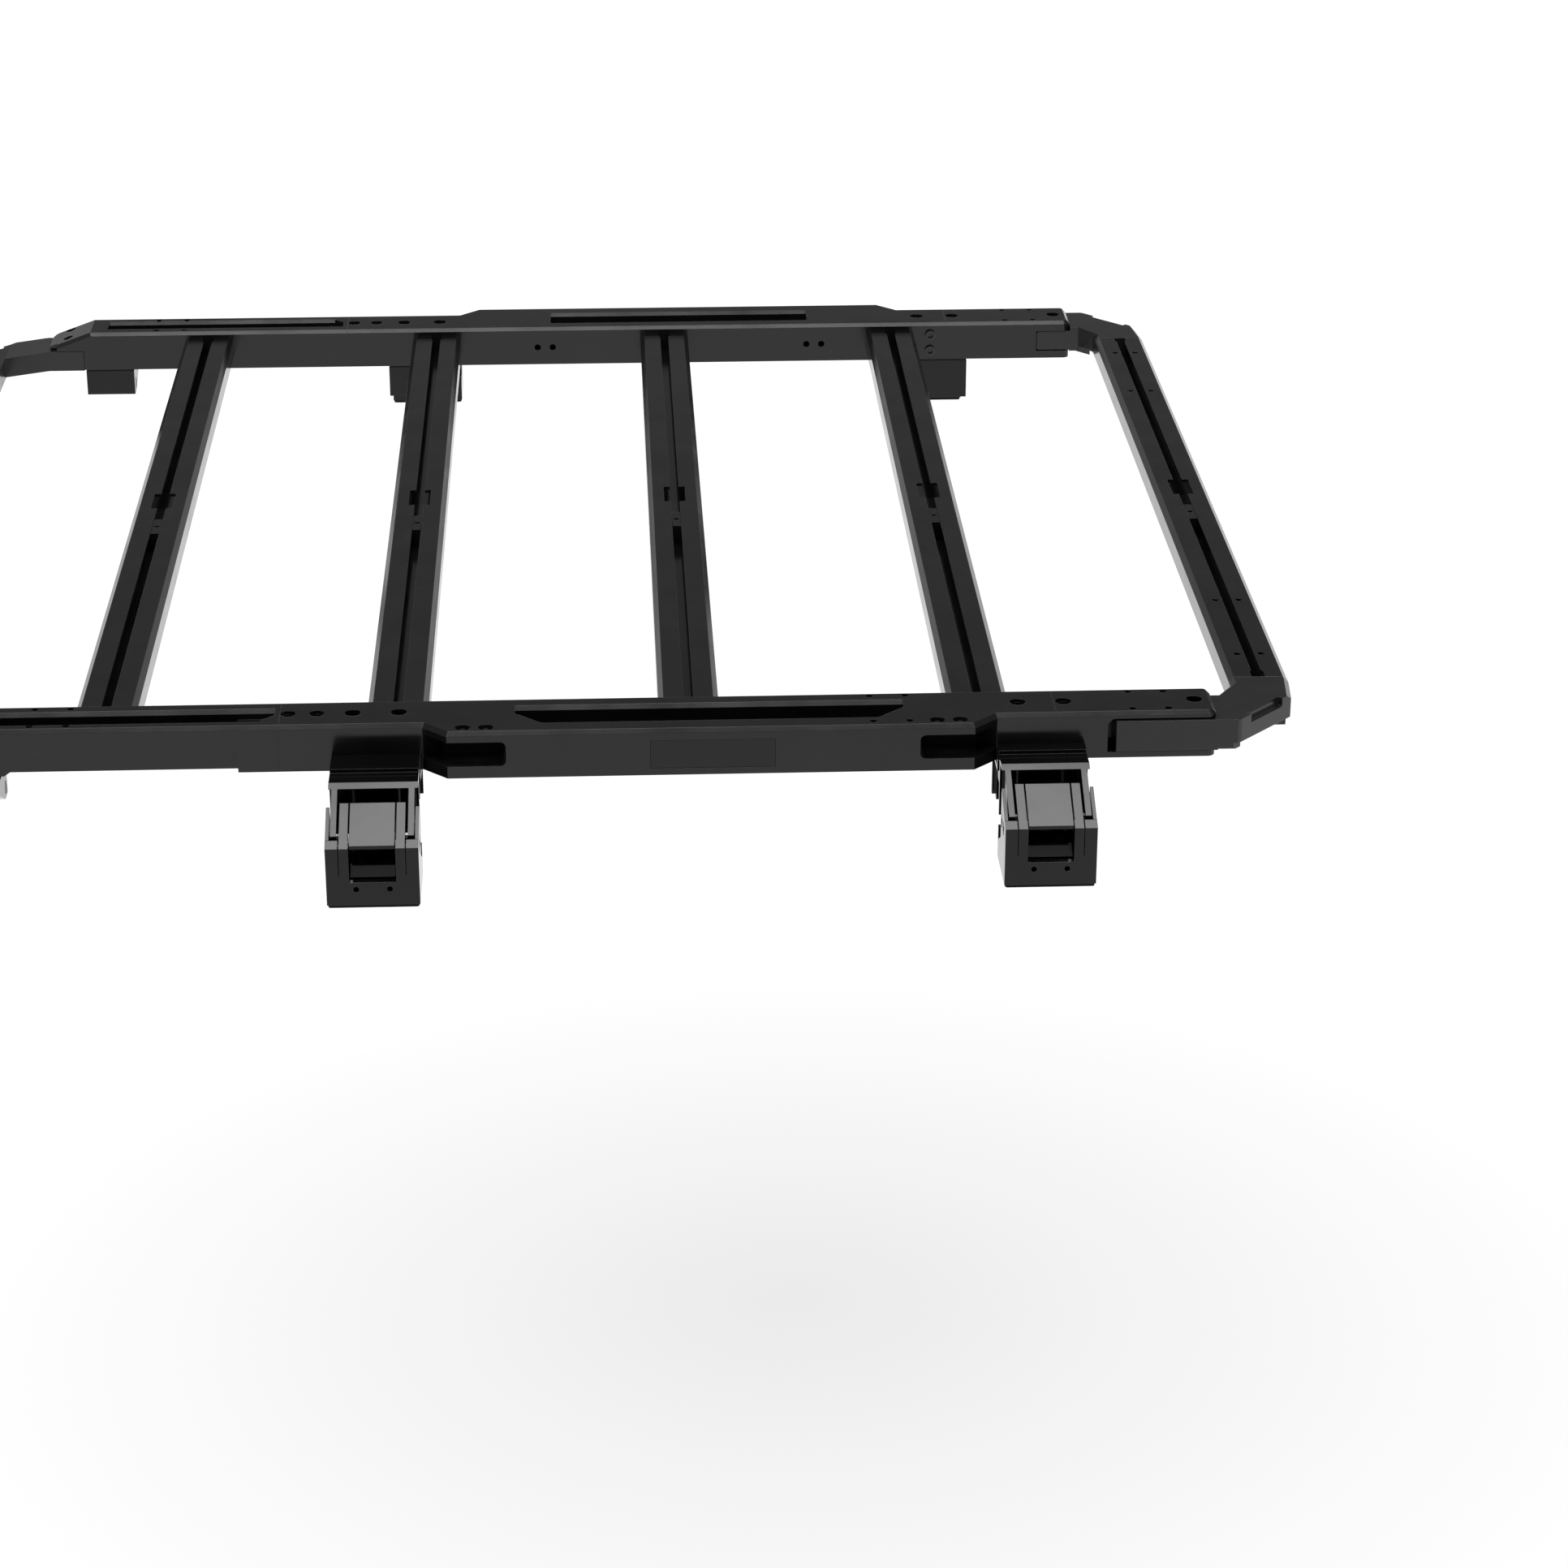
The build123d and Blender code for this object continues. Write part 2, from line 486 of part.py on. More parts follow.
def make_end_plugs():
    """Solid plugs in the ends of the bars' side chambers, drilled for the bolts."""
    gap = 0.1
    with BuildPart() as plugs:
        for x, top, side, end, wall in bar_ends():
            floor = top - BAR_HEIGHT + CHAMBER_FLOOR
            for hand in (-1, 1):
                block((x + hand * (CHAMBER[0] + gap), x + hand * (CHAMBER[1] - gap)),
                      span(side, end - PLUG_LENGTH, end - gap), (floor + gap, floor + CHAMBER_HEIGHT - gap))
                rod_y([(x + hand * BOLT_DX, top - BAR_HEIGHT / 2)], BOLT_RADIUS,
                      *span(side, end - 26, end + 1), Mode.SUBTRACT)
    save(plugs, "crossbar_end_plugs")


def make_bar_bolts():
    """Cap screws from inside the rails and corners into the plugs."""
    with BuildPart() as bolts:
        for x, top, side, end, wall in bar_ends():
            spots = [(x + hand * BOLT_DX, top - BAR_HEIGHT / 2) for hand in (-1, 1)]
            rod_y(spots, BOLT_RADIUS - 0.1, *span(side, end - 24, end + wall + 1))
            rod_y(spots, 6.0, *span(side, end + wall, end + wall + 5))
    save(bolts, "crossbar_bolts")


# ---- corner castings ----
CORNER_WALL = 8.0
CORNER_SLANT = END_BAR_HALF + 46.0  # where the slanted face meets the corner's outer face
FRONT_ARM_TOP = RAIL_TOP - 24.0
FRONT_ARM_TIP = -588.6
BEND_X = -633.0
CORNER_EDGE = 26.0                  # corner's outer face, from the bar's middle line
GROOVE_LENGTH = 54.0                # round groove along the top of the slanted face
GROOVE_RADIUS = 6.0


def slant_line(outward):
    """Plan points of the slanted face, from the rail side to the bar's outer edge."""
    edge = REAR_BAR_X + CORNER_EDGE
    return [(outward * (edge - 58.5), 680), (outward * edge, CORNER_SLANT)]


def bolt_room(x, top, side):
    """Bolt holes in the wall that meets the bar, and the room behind it, open below."""
    z = top - BAR_HEIGHT / 2
    rod_y([(x - BOLT_DX, z), (x + BOLT_DX, z)], BOLT_RADIUS + 0.3,
          *span(side, END_BAR_HALF - 1, END_BAR_HALF + CORNER_WALL + 1), Mode.SUBTRACT)
    block((x - 27, x + 27), span(side, END_BAR_HALF + CORNER_WALL, END_BAR_HALF + 26),
          (top - BAR_HEIGHT - 8, top - 5), Mode.SUBTRACT)


def groove(side, outward, top):
    """Round groove along the top of the slanted face."""
    (x0, v0), (x1, v1) = slant_line(outward)
    along = Plane(origin=((x0 + x1) / 2, side * (v0 + v1) / 2, top - 3),
                  x_dir=(0, 0, 1), z_dir=(x1 - x0, side * (v1 - v0), 0))
    with Locations(along):
        Cylinder(GROOVE_RADIUS, GROOVE_LENGTH, mode=Mode.SUBTRACT)


def make_rear_corner(name, side):
    top = BAR_TOP
    low = top - BAR_HEIGHT
    bar_edge = REAR_BAR_X + BAR_WIDTH / 2
    inner_edge = REAR_BAR_X - BAR_WIDTH / 2
    footprint = [(RAIL_END + 1, 683), (681, 683), *slant_line(1), (bar_edge, END_BAR_HALF + 5),
                 (bar_edge, END_BAR_HALF), (inner_edge, END_BAR_HALF), (inner_edge, 594), (671, 619.5),
                 (RAIL_END + 1, 619.5)]
    root = [(RAIL_END + 0.5, 683), (677, 683), (685, 675), (685, 604), (671, 619.5), (RAIL_END + 0.5, 619.5)]
    with BuildPart() as corner:
        prism_z(plan(footprint, side), low, top)
        rim = corner.faces().sort_by(Axis.Z)[-1].edges()
        chamfer(rim.filter_by(lambda e: abs(e.center().X - inner_edge) < 0.1
                              or e.center().X > REAR_BAR_X + CORNER_EDGE), BAR_CHAMFER)
        prism_z(plan(root, side), ARM_BOTTOM, low)
        # rounded lug under the outer edge
        block((720, 738), span(side, 600, 624), (low - 7, low))
        fillet(corner.edges().filter_by(Axis.X).filter_by(lambda e: abs(e.center().Z - low + 7) < 0.1), 3)
        block((TONGUE_X, RAIL_END + 2), span(side, 619.5, 679.5), TONGUE)
        tip = corner.edges().filter_by(Axis.Y).filter_by(lambda e: abs(e.center().X - TONGUE_X) < 0.1)
        fillet(tip, TONGUE_ROUND)
        block((ARM_TIP, RAIL_END + 2), span(side, *ARM_LINE), (ARM_BOTTOM, BAR_TOP))
        groove(side, 1, top)
        bolt_room(REAR_BAR_X, top, side)
        rod_z(plan(CORNER_SCREWS, side), BOLT_RADIUS, TONGUE[0] - 1, TONGUE[0] + 13, Mode.SUBTRACT)
    save(corner, f"rear_corner_{name}")


def make_front_corner(name, side):
    top = FRONT_BAR_TOP
    low = top - BAR_HEIGHT
    edge = FRONT_BAR_X - BAR_WIDTH / 2
    inner_edge = FRONT_BAR_X + BAR_WIDTH / 2
    slant_edge = FRONT_BAR_X - CORNER_EDGE
    arm_low = FRONT_ARM_TOP - BAR_HEIGHT
    elevation = [(FRONT_ARM_TIP, FRONT_ARM_TOP), (BEND_X, FRONT_ARM_TOP), (inner_edge, top), (edge, top),
                 (edge, low), (inner_edge, low), (BEND_X, arm_low), (FRONT_ARM_TIP, arm_low)]
    footprint = [(FRONT_ARM_TIP, 618.5), (inner_edge, 618.5), (inner_edge, END_BAR_HALF),
                 (edge, END_BAR_HALF), (edge, END_BAR_HALF + 5), (slant_edge, END_BAR_HALF + 9),
                 *reversed(slant_line(-1)), (-681, 683), (-640, 683), (-634, 680), (FRONT_ARM_TIP, 680)]
    with BuildPart() as corner:
        prism_y(elevation, *span(side, END_BAR_HALF, 684))
        prism_z(plan(footprint, side), low - 1, FRONT_ARM_TOP + 1, Mode.INTERSECT)
        groove(side, -1, top)
        bolt_room(FRONT_BAR_X, top, side)
        rod_z(plan(NOSE_HOLES, side), 3.0, FRONT_ARM_TOP - 18, FRONT_ARM_TOP + 1, Mode.SUBTRACT)
    save(corner, f"front_corner_{name}")


# ---- tall feet ----
BRACKET_HALF = 43.0
PLATE = 4.0
WEB = (34.0, 40.0)                  # bracket webs, from the foot's middle line
COLUMN = (23.0, 31.6)               # inner walls of the base
FLANGE = (41.0, FOOT_WIDTH / 2)     # outer walls of the base
WINDOW_HALF = 22.4                  # opening in the base's front wall
INSERT_HALF = 21.6
COLUMN_GAP = 0.9                    # slit between each inner wall and the front wall's shoulder
FRONT_WALL = 9.4
INNER_LEG = 632.0
LEG_BOTTOM = {"middle": RAIL_TOP - 92.0, "rear": RAIL_TOP - 103.0}
SHELF = RAIL_TOP - 31.5
STEP = RAIL_TOP - 35.5
STEP_BACK = 93.0                    # the step in the bracket's top, behind the front face
SLOPE_BOTTOM = STEP - SLOPE_FALL
SLOPE = SLOPE_FALL / SLOPE_RUN
SEAT = RAIL_BOTTOM - PAD_THICKNESS
RISER = 680.6
WEB_BOTTOM = 26.0
TIE_BACK = 84.0                     # bracket's cross wall, behind the front face
TIE_BOTTOM = 42.0
BACK_WALL_TOP = 36.0                # low wall across the back of the base
SILL = 26.3
SILL_RUN = 3.4                      # sloping sill of the window
HEIGHT_BOLTS = (38.0, 20.0)         # behind the front face
HEIGHT_BOLT_Z = 54.0
INSERT_FLOOR = 40.0
INSERT_LOW = 28.2
INSERT_BOLTS = [(u, back) for u in (-10.6, 10.6) for back in (40.0, 19.0)]
LIFT = 4.0                          # height travel of the base, up and down
DROP = 16.0
COLUMN_BACK = 48.4


def slope_z(back):
    """Height of the sloping cut at a distance behind the foot's front face."""
    return SLOPE_BOTTOM + back * SLOPE


def make_foot_bracket(name, where, side):
    """Inner leg, seat under the rail, and two webs with a stepped top and a sloping end."""
    x, reach = FOOT_X[where], FOOT_REACH[where]
    crest = reach - SLOPE_RUN
    step = reach - STEP_BACK
    tip = reach - FRONT_WALL - 4
    leg = LEG_BOTTOM[where]
    top_line = [(INNER_LEG, SEAT), (RISER, SEAT), (RISER, SHELF), (step, SHELF), (step, STEP), (crest, STEP)]
    web = top_line + [(tip, slope_z(reach - tip)), (tip, WEB_BOTTOM), (reach - 56, WEB_BOTTOM),
                      (reach - 80, SEAT - 20), (INNER_LEG + 20, SEAT - 20), (INNER_LEG + 20, leg),
                      (INNER_LEG, leg)]
    lid = top_line + [(crest + PLATE / SLOPE, STEP - PLATE), (step - PLATE, STEP - PLATE),
                      (step - PLATE, SHELF - PLATE), (RISER + PLATE, SHELF - PLATE),
                      (RISER + PLATE, SEAT - PLATE), (INNER_LEG, SEAT - PLATE)]
    with BuildPart() as bracket:
        prism_x(section(lid, side), x - BRACKET_HALF, x + BRACKET_HALF)
        block((x - BRACKET_HALF, x + BRACKET_HALF), span(side, INNER_LEG, INNER_LEG + 6), (leg, SEAT))
        # cross wall that ties the lid to the webs
        block((x - BRACKET_HALF, x + BRACKET_HALF), span(side, reach - TIE_BACK, reach - TIE_BACK + PLATE),
              (TIE_BOTTOM, STEP - 1))
        for hand in (-1, 1):
            walls = [x + hand * w for w in WEB]
            prism_x(section(web, side), *walls)
            for back in HEIGHT_BOLTS:
                y = side * (reach - back)
                r = BOLT_RADIUS + 0.4
                ends = (HEIGHT_BOLT_Z - DROP, HEIGHT_BOLT_Z + LIFT)
                block(walls, (y - r, y + r), ends, Mode.SUBTRACT)
                rod_x([(y, z) for z in ends], r, *walls, Mode.SUBTRACT)
        spots = [(x - BRACKET_BOLT_DX, BRACKET_BOLT_LINE), (x + BRACKET_BOLT_DX, BRACKET_BOLT_LINE)]
        rod_z(plan(spots, side), 4.3, SEAT - PLATE - 1, SEAT + 1, Mode.SUBTRACT)
    save(bracket, f"foot_bracket_{where}_{name}")


def make_foot_base(name, where, side):
    """Floor, front wall with a window, and two pairs of walls that hold the bracket's webs."""
    x, reach = FOOT_X[where], FOOT_REACH[where]
    half = FOOT_WIDTH / 2
    low = SOLE_THICKNESS
    wall_back = reach - FRONT_WALL
    front = [(reach, low), (reach, SLOPE_BOTTOM), (wall_back, slope_z(FRONT_WALL)), (wall_back, low)]
    column = [(reach, low), (reach, SLOPE_BOTTOM), (reach - COLUMN_BACK, slope_z(COLUMN_BACK)),
              (reach - COLUMN_BACK, low)]
    flange = [(reach, low), (reach, SLOPE_BOTTOM - 1), (reach - 45, slope_z(45) - 1), (reach - 45, 34),
              (reach - SLOPE_RUN, 20), (reach - SLOPE_RUN, low)]
    lip = SILL + SILL_RUN * SLOPE
    window = [(reach + 1, SLOPE_BOTTOM + 2), (reach + 1, SILL - SLOPE), (reach - SILL_RUN, lip),
              (wall_back - 1, lip), (wall_back - 1, SLOPE_BOTTOM + 8)]
    with BuildPart() as base:
        block((x - half, x + half), span(side, reach - SLOPE_RUN, reach), (low, low + 6))
        block((x - half, x + half), span(side, reach - SLOPE_RUN, reach - SLOPE_RUN + 3), (low, BACK_WALL_TOP))
        block((x - COLUMN[0] - 1, x + COLUMN[0] + 1), span(side, reach - COLUMN_BACK, wall_back + 1),
              (low, INSERT_LOW - 0.2))
        prism_x(section(front, side), x - half, x + half)
        for hand in (-1, 1):
            prism_x(section(column, side), *(x + hand * w for w in COLUMN))
            prism_x(section(flange, side), *(x + hand * w for w in FLANGE))
        prism_x(section(window, side), x - WINDOW_HALF, x + WINDOW_HALF, Mode.SUBTRACT)
        for hand in (-1, 1):
            slit = (x + hand * COLUMN[1], x + hand * (COLUMN[1] + COLUMN_GAP))
            block(slit, span(side, wall_back - 1, reach + 1), (INSERT_LOW + 5, STEP), Mode.SUBTRACT)
        rod_y([(x - 16.1, 19.5), (x + 16.1, 19.5)], 2.8, *span(side, wall_back - 4, reach + 1), Mode.SUBTRACT)
        rod_z([(x + u, side * (reach - back)) for u, back in INSERT_BOLTS], 3.1, 12, INSERT_LOW, Mode.SUBTRACT)
        spots = [(side * (reach - back), HEIGHT_BOLT_Z) for back in HEIGHT_BOLTS]
        for hand in (-1, 1):
            rod_x(spots, BOLT_RADIUS + 0.2, *(x + hand * w for w in COLUMN), Mode.SUBTRACT)
            rod_x(spots, 6.8, *(x + hand * w for w in FLANGE), Mode.SUBTRACT)
    save(base, f"foot_base_{where}_{name}")


def make_foot_insert(name, where, side):
    """Clamp block between the inner walls: sloping top plate, floor with four bolts, ramp in front."""
    x, reach = FOOT_X[where], FOOT_REACH[where]
    back = COLUMN_BACK
    plate = 3.5
    body = [(reach - back, slope_z(back)), (reach - 3, slope_z(3)), (reach - 3, slope_z(3) - plate),
            (reach - back + 4.4, slope_z(back - 4.4) - plate), (reach - back + 4.4, INSERT_FLOOR),
            (reach - 13.5, INSERT_FLOOR), (reach - 4, 30.6), (reach - 8, 30.6), (reach - 8, INSERT_LOW),
            (reach - back, INSERT_LOW)]
    spots = [(x + u, side * (reach - b)) for u, b in INSERT_BOLTS]
    with BuildPart() as insert:
        prism_x(section(body, side), x - INSERT_HALF, x + INSERT_HALF)
        rod_z(spots, 5.8, INSERT_FLOOR - 7, INSERT_FLOOR + 1, Mode.SUBTRACT)
        rod_z(spots, 3.2, INSERT_LOW - 1, INSERT_FLOOR, Mode.SUBTRACT)
    save(insert, f"foot_insert_{where}_{name}")


def make_foot_bolts(name, where, side):
    """Side bolts that hold the height, heads flush in the outer walls, and the insert's four bolts."""
    x, reach = FOOT_X[where], FOOT_REACH[where]
    side_spots = [(side * (reach - back), HEIGHT_BOLT_Z) for back in HEIGHT_BOLTS]
    spots = [(x + u, side * (reach - b)) for u, b in INSERT_BOLTS]
    with BuildPart() as bolts:
        for hand in (-1, 1):
            rod_x(side_spots, BOLT_RADIUS, x + hand * (COLUMN[0] + 0.5), x + hand * (WEB[1] + 1))
            rod_x(side_spots, 6.5, x + hand * (WEB[1] + 0.4), x + hand * (FLANGE[1] - 0.3))
            hex_hole = Plane.YZ.offset(x + hand * (FLANGE[1] - 0.3))
            with BuildSketch(hex_hole) as sockets:
                with Locations(*side_spots):
                    RegularPolygon(3.4, 6)
            extrude(sockets.sketch, amount=-hand * 2.5, mode=Mode.SUBTRACT)
        rod_z(spots, 3.0, 13, INSERT_FLOOR - 6)
        rod_z(spots, 5.2, INSERT_FLOOR - 7, INSERT_FLOOR - 2)
        with BuildSketch(Plane.XY.offset(INSERT_FLOOR - 2)) as sockets:
            with Locations(*spots):
                RegularPolygon(2.9, 6)
        extrude(sockets.sketch, amount=-2.5, mode=Mode.SUBTRACT)
    save(bolts, f"foot_bolts_{where}_{name}")


def make_sole(name, where, side):
    x, reach = FOOT_X[where], FOOT_REACH[where]
    inset = 1.0
    half = FOOT_WIDTH / 2 - inset
    with BuildPart() as sole:
        block((x - half, x + half), span(side, reach - SLOPE_RUN + inset, reach - inset), (0, SOLE_THICKNESS))
        fillet(sole.edges().filter_by(Axis.Z), 3)
    save(sole, f"foot_sole_{where}_{name}")


# ---- short front feet, pads and the bolts into the rails ----
PIN_HEAD = 3.0


def make_front_foot(name, side):
    """Short bracket under the nose: seat, inner wall, and two webs with a cross hole."""
    x = FRONT_FOOT_X
    half = FRONT_FOOT_WIDTH / 2
    low = SEAT - 31
    web = [(INNER_LEG, SEAT), (690, SEAT), (690, SEAT - 9), (INNER_LEG + 18, low), (INNER_LEG, low)]
    with BuildPart() as foot:
        block((x - half, x + half), span(side, INNER_LEG, 690), (SEAT - PLATE, SEAT))
        block((x - half, x + half), span(side, INNER_LEG, INNER_LEG + 6), (low, SEAT))
        for hand in (-1, 1):
            prism_x(section(web, side), x + hand * (half - 6), x + hand * half)
        spot = [(side * (INNER_LEG + 14), SEAT - 20)]
        rod_x(spot, 4.2, x - half - 1, x + half + 1, Mode.SUBTRACT)
        for hand in (-1, 1):
            rod_x(spot, 6.8, x + hand * (half - PIN_HEAD), x + hand * (half + 1), Mode.SUBTRACT)
        rod_z(plan(FRONT_FOOT_BOLTS, side), 4.3, SEAT - PLATE - 1, SEAT + 1, Mode.SUBTRACT)
    save(foot, f"front_foot_{name}")


def make_front_foot_pins():
    """Cross bolt through the webs of each short foot, heads sunk in the webs."""
    half = FRONT_FOOT_WIDTH / 2
    with BuildPart() as pins:
        for side in SIDES.values():
            spot = [(side * (INNER_LEG + 14), SEAT - 20)]
            rod_x(spot, BOLT_RADIUS, FRONT_FOOT_X - half + 1, FRONT_FOOT_X + half - 1)
            for hand in (-1, 1):
                rod_x(spot, 6.5, FRONT_FOOT_X + hand * (half - PIN_HEAD), FRONT_FOOT_X + hand * (half - 0.4))
    save(pins, "front_foot_pins")


def bracket_bolt_spots():
    """Plan places of every bolt from a foot up into its rail, on one side."""
    spots = [(x + hand * BRACKET_BOLT_DX, BRACKET_BOLT_LINE) for x in FOOT_X.values() for hand in (-1, 1)]
    return spots + FRONT_FOOT_BOLTS


def make_rail_pads():
    """Rubber pads between the rails and the feet."""
    feet = [(x, BRACKET_HALF) for x in FOOT_X.values()] + [(FRONT_FOOT_X, FRONT_FOOT_WIDTH / 2)]
    with BuildPart() as pads:
        for side in SIDES.values():
            for x, half in feet:
                block((x - half + 2, x + half - 2), span(side, INNER_LEG, RAIL_OUTER - 2), (SEAT, RAIL_BOTTOM))
            rod_z(plan(bracket_bolt_spots(), side), 4.3, SEAT - 1, RAIL_BOTTOM + 1, Mode.SUBTRACT)
    save(pads, "rail_pads")


def make_bracket_bolts():
    """Bolts with heads under the brackets and nuts inside the rails."""
    with BuildPart() as bolts:
        for side in SIDES.values():
            spots = plan(bracket_bolt_spots(), side)
            rod_z(spots, BOLT_RADIUS, SEAT - PLATE - 1, CORE[0] + 8)
            rod_z(spots, 6.5, SEAT - PLATE - 5, SEAT - PLATE)
            with BuildSketch(Plane.XY.offset(CORE[0])) as nuts:
                with Locations(*spots):
                    RegularPolygon(6.4, 6)
            extrude(nuts.sketch, amount=6)
    save(bolts, "bracket_bolts")


for side_name, sign in SIDES.items():
    make_rail_front(side_name, sign)
    make_rail_middle(side_name, sign)
    make_rail_rear(side_name, sign)
    make_splice(side_name, "front", SEAM_FRONT, sign)
    make_splice(side_name, "rear", SEAM_REAR, sign)
    make_name_plate(side_name, sign)
    make_rear_corner(side_name, sign)
    make_front_corner(side_name, sign)
    make_front_foot(side_name, sign)
    for place in FOOT_X:
        make_foot_bracket(side_name, place, sign)
        make_foot_base(side_name, place, sign)
        make_foot_insert(side_name, place, sign)
        make_foot_bolts(side_name, place, sign)
        make_sole(side_name, place, sign)

for number, bar_x in enumerate(BAR_XS):
    label = {0: "front", BAR_COUNT - 1: "rear"}.get(number, str(number))
    bar_top = FRONT_BAR_TOP if number == 0 else BAR_TOP
    reach_y = END_BAR_HALF if label in ("front", "rear") else RAIL_INNER
    make_crossbar(f"crossbar_{label}", bar_x, bar_top, reach_y)
    make_slot_block(f"slot_block_{label}", bar_x, bar_top)

make_end_plugs()
make_bar_bolts()
make_splice_screws()
make_corner_screws()
make_front_foot_pins()
make_rail_pads()
make_bracket_bolts()
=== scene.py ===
import bpy
import json
from math import radians
from mathutils import Matrix, Vector


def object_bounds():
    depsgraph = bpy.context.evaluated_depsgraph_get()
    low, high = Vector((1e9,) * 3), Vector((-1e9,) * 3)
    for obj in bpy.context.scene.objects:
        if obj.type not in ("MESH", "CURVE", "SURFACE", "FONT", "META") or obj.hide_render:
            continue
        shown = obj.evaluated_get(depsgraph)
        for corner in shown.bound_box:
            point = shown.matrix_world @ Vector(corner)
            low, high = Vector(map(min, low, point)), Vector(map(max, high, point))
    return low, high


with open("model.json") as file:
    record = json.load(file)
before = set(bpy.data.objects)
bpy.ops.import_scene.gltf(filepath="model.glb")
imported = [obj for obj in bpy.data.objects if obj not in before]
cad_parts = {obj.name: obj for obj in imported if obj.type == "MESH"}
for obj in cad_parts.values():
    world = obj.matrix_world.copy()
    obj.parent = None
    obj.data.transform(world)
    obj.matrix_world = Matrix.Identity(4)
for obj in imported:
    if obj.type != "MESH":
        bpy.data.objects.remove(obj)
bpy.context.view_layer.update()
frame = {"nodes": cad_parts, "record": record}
record = frame["record"]
nodes = frame["nodes"]


# ---- heights taken from the frame, in metres ----
rack_low, rack_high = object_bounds()
RAIL_TOP = rack_high.z
FLOOR_Z = rack_low.z

# ---- camera ----
CAMERA_AT = Vector((0.0612, -4.3303, RAIL_TOP + 1.5186))
CAMERA_YAW = 2.727          # to the right of straight ahead, degrees
CAMERA_PITCH = 23.498       # down
CAMERA_ROLL = -0.0925
LENS_MM = 93.18
SENSOR_MM = 36.0


def make_camera():
    data = bpy.data.cameras.new("camera")
    data.sensor_fit = "HORIZONTAL"
    data.sensor_width = SENSOR_MM
    data.lens = LENS_MM
    data.clip_end = 200.0
    camera = bpy.data.objects.new("camera", data)
    turn = Matrix.Rotation(radians(-CAMERA_YAW), 4, "Z")
    tilt = Matrix.Rotation(radians(90 - CAMERA_PITCH), 4, "X")
    roll = Matrix.Rotation(radians(-CAMERA_ROLL), 4, "Z")
    camera.matrix_world = Matrix.Translation(CAMERA_AT) @ turn @ tilt @ roll
    bpy.context.scene.collection.objects.link(camera)
    bpy.context.scene.camera = camera


# ---- node helpers ----
DEEP = 0.18                 # ambient occlusion at or under this counts as the bottom of a hollow
OPEN = 0.45                 # and at or over this as an open face


class Shader:
    """A node tree with short calls to add nodes and link them."""

    def __init__(self, name):
        self.material = bpy.data.materials.new(name)
        self.material.use_nodes = True
        self.tree = self.material.node_tree
        self.bsdf = self.tree.nodes["Principled BSDF"]
        self.position = self.add("ShaderNodeTexCoord").outputs["Object"]

    def add(self, kind, **settings):
        node = self.tree.nodes.new(kind)
        for key, value in settings.items():
            setattr(node, key, value)
        return node

    def link(self, source, target):
        self.tree.links.new(source, target)

    def set(self, **values):
        """Set constants on the shader's own sockets."""
        for key, value in values.items():
            self.bsdf.inputs[key.replace("_", " ")].default_value = value

    def noise(self, scale, detail=2.0, rough=0.5, stretch=(1, 1, 1)):
        """Noise in object space; scale is per metre."""
        mapping = self.add("ShaderNodeMapping")
        mapping.inputs["Scale"].default_value = stretch
        self.link(self.position, mapping.inputs["Vector"])
        texture = self.add("ShaderNodeTexNoise")
        texture.inputs["Scale"].default_value = scale
        texture.inputs["Detail"].default_value = detail
        texture.inputs["Roughness"].default_value = rough
        self.link(mapping.outputs["Vector"], texture.inputs["Vector"])
        return texture.outputs["Fac"]

    def spread(self, value, low, high, start=0.3, end=0.7):
        """Map a 0 to 1 value onto a range."""
        node = self.add("ShaderNodeMapRange")
        node.inputs["From Min"].default_value = start
        node.inputs["From Max"].default_value = end
        node.inputs["To Min"].default_value = low
        node.inputs["To Max"].default_value = high
        self.link(value, node.inputs["Value"])
        return node.outputs["Result"]

    def blend(self, factor, first, second):
        """Mix two colours, given as sockets or as RGB values."""
        node = self.add("ShaderNodeMix", data_type="RGBA")
        for value, socket in ((first, node.inputs[6]), (second, node.inputs[7])):
            if isinstance(value, tuple):
                socket.default_value = (*value, 1.0)
            else:
                self.link(value, socket)
        self.link(factor, node.inputs[0])
        return node.outputs[2]

    def edge(self, radius, sharpness=8.0):
        """1 on the object's sharp edges, 0 on its flat faces."""
        bevel = self.add("ShaderNodeBevel", samples=4)
        bevel.inputs["Radius"].default_value = radius
        geometry = self.add("ShaderNodeNewGeometry")
        dot = self.add("ShaderNodeVectorMath", operation="DOT_PRODUCT")
        self.link(bevel.outputs["Normal"], dot.inputs[0])
        self.link(geometry.outputs["True Normal"], dot.inputs[1])
        scale = self.add("ShaderNodeMath", operation="MULTIPLY_ADD", use_clamp=True)
        scale.inputs[1].default_value = -sharpness
        scale.inputs[2].default_value = sharpness
        self.link(dot.outputs["Value"], scale.inputs[0])
        return scale.outputs["Value"]

    def occlusion_mask(self, distance):
        """0 deep in holes and slits, 1 on open faces, from ambient occlusion; it masks the
        painted shade.
        """
        occlusion = self.add("ShaderNodeAmbientOcclusion", samples=8)
        occlusion.inputs["Distance"].default_value = distance
        return self.spread(occlusion.outputs["AO"], 0.0, 1.0, DEEP, OPEN)

    def relief(self, layers, edge_radius):
        """Rounded edges, with bump layers of (height socket, distance in metres) on top."""
        bevel = self.add("ShaderNodeBevel", samples=6)
        bevel.inputs["Radius"].default_value = edge_radius
        normal = bevel.outputs["Normal"]
        for height, distance in layers:
            bump = self.add("ShaderNodeBump")
            bump.inputs["Strength"].default_value = 1.0
            bump.inputs["Distance"].default_value = distance
            self.link(height, bump.inputs["Height"])
            self.link(normal, bump.inputs["Normal"])
            normal = bump.outputs["Normal"]
        self.link(normal, self.bsdf.inputs["Normal"])


# ---- materials ----
# black and low gloss for the painted shade in hollows
PAINTED_SHADE_BLACK = (0.0, 0.0, 0.0)
PAINTED_SHADE_GLOSS = 0.02


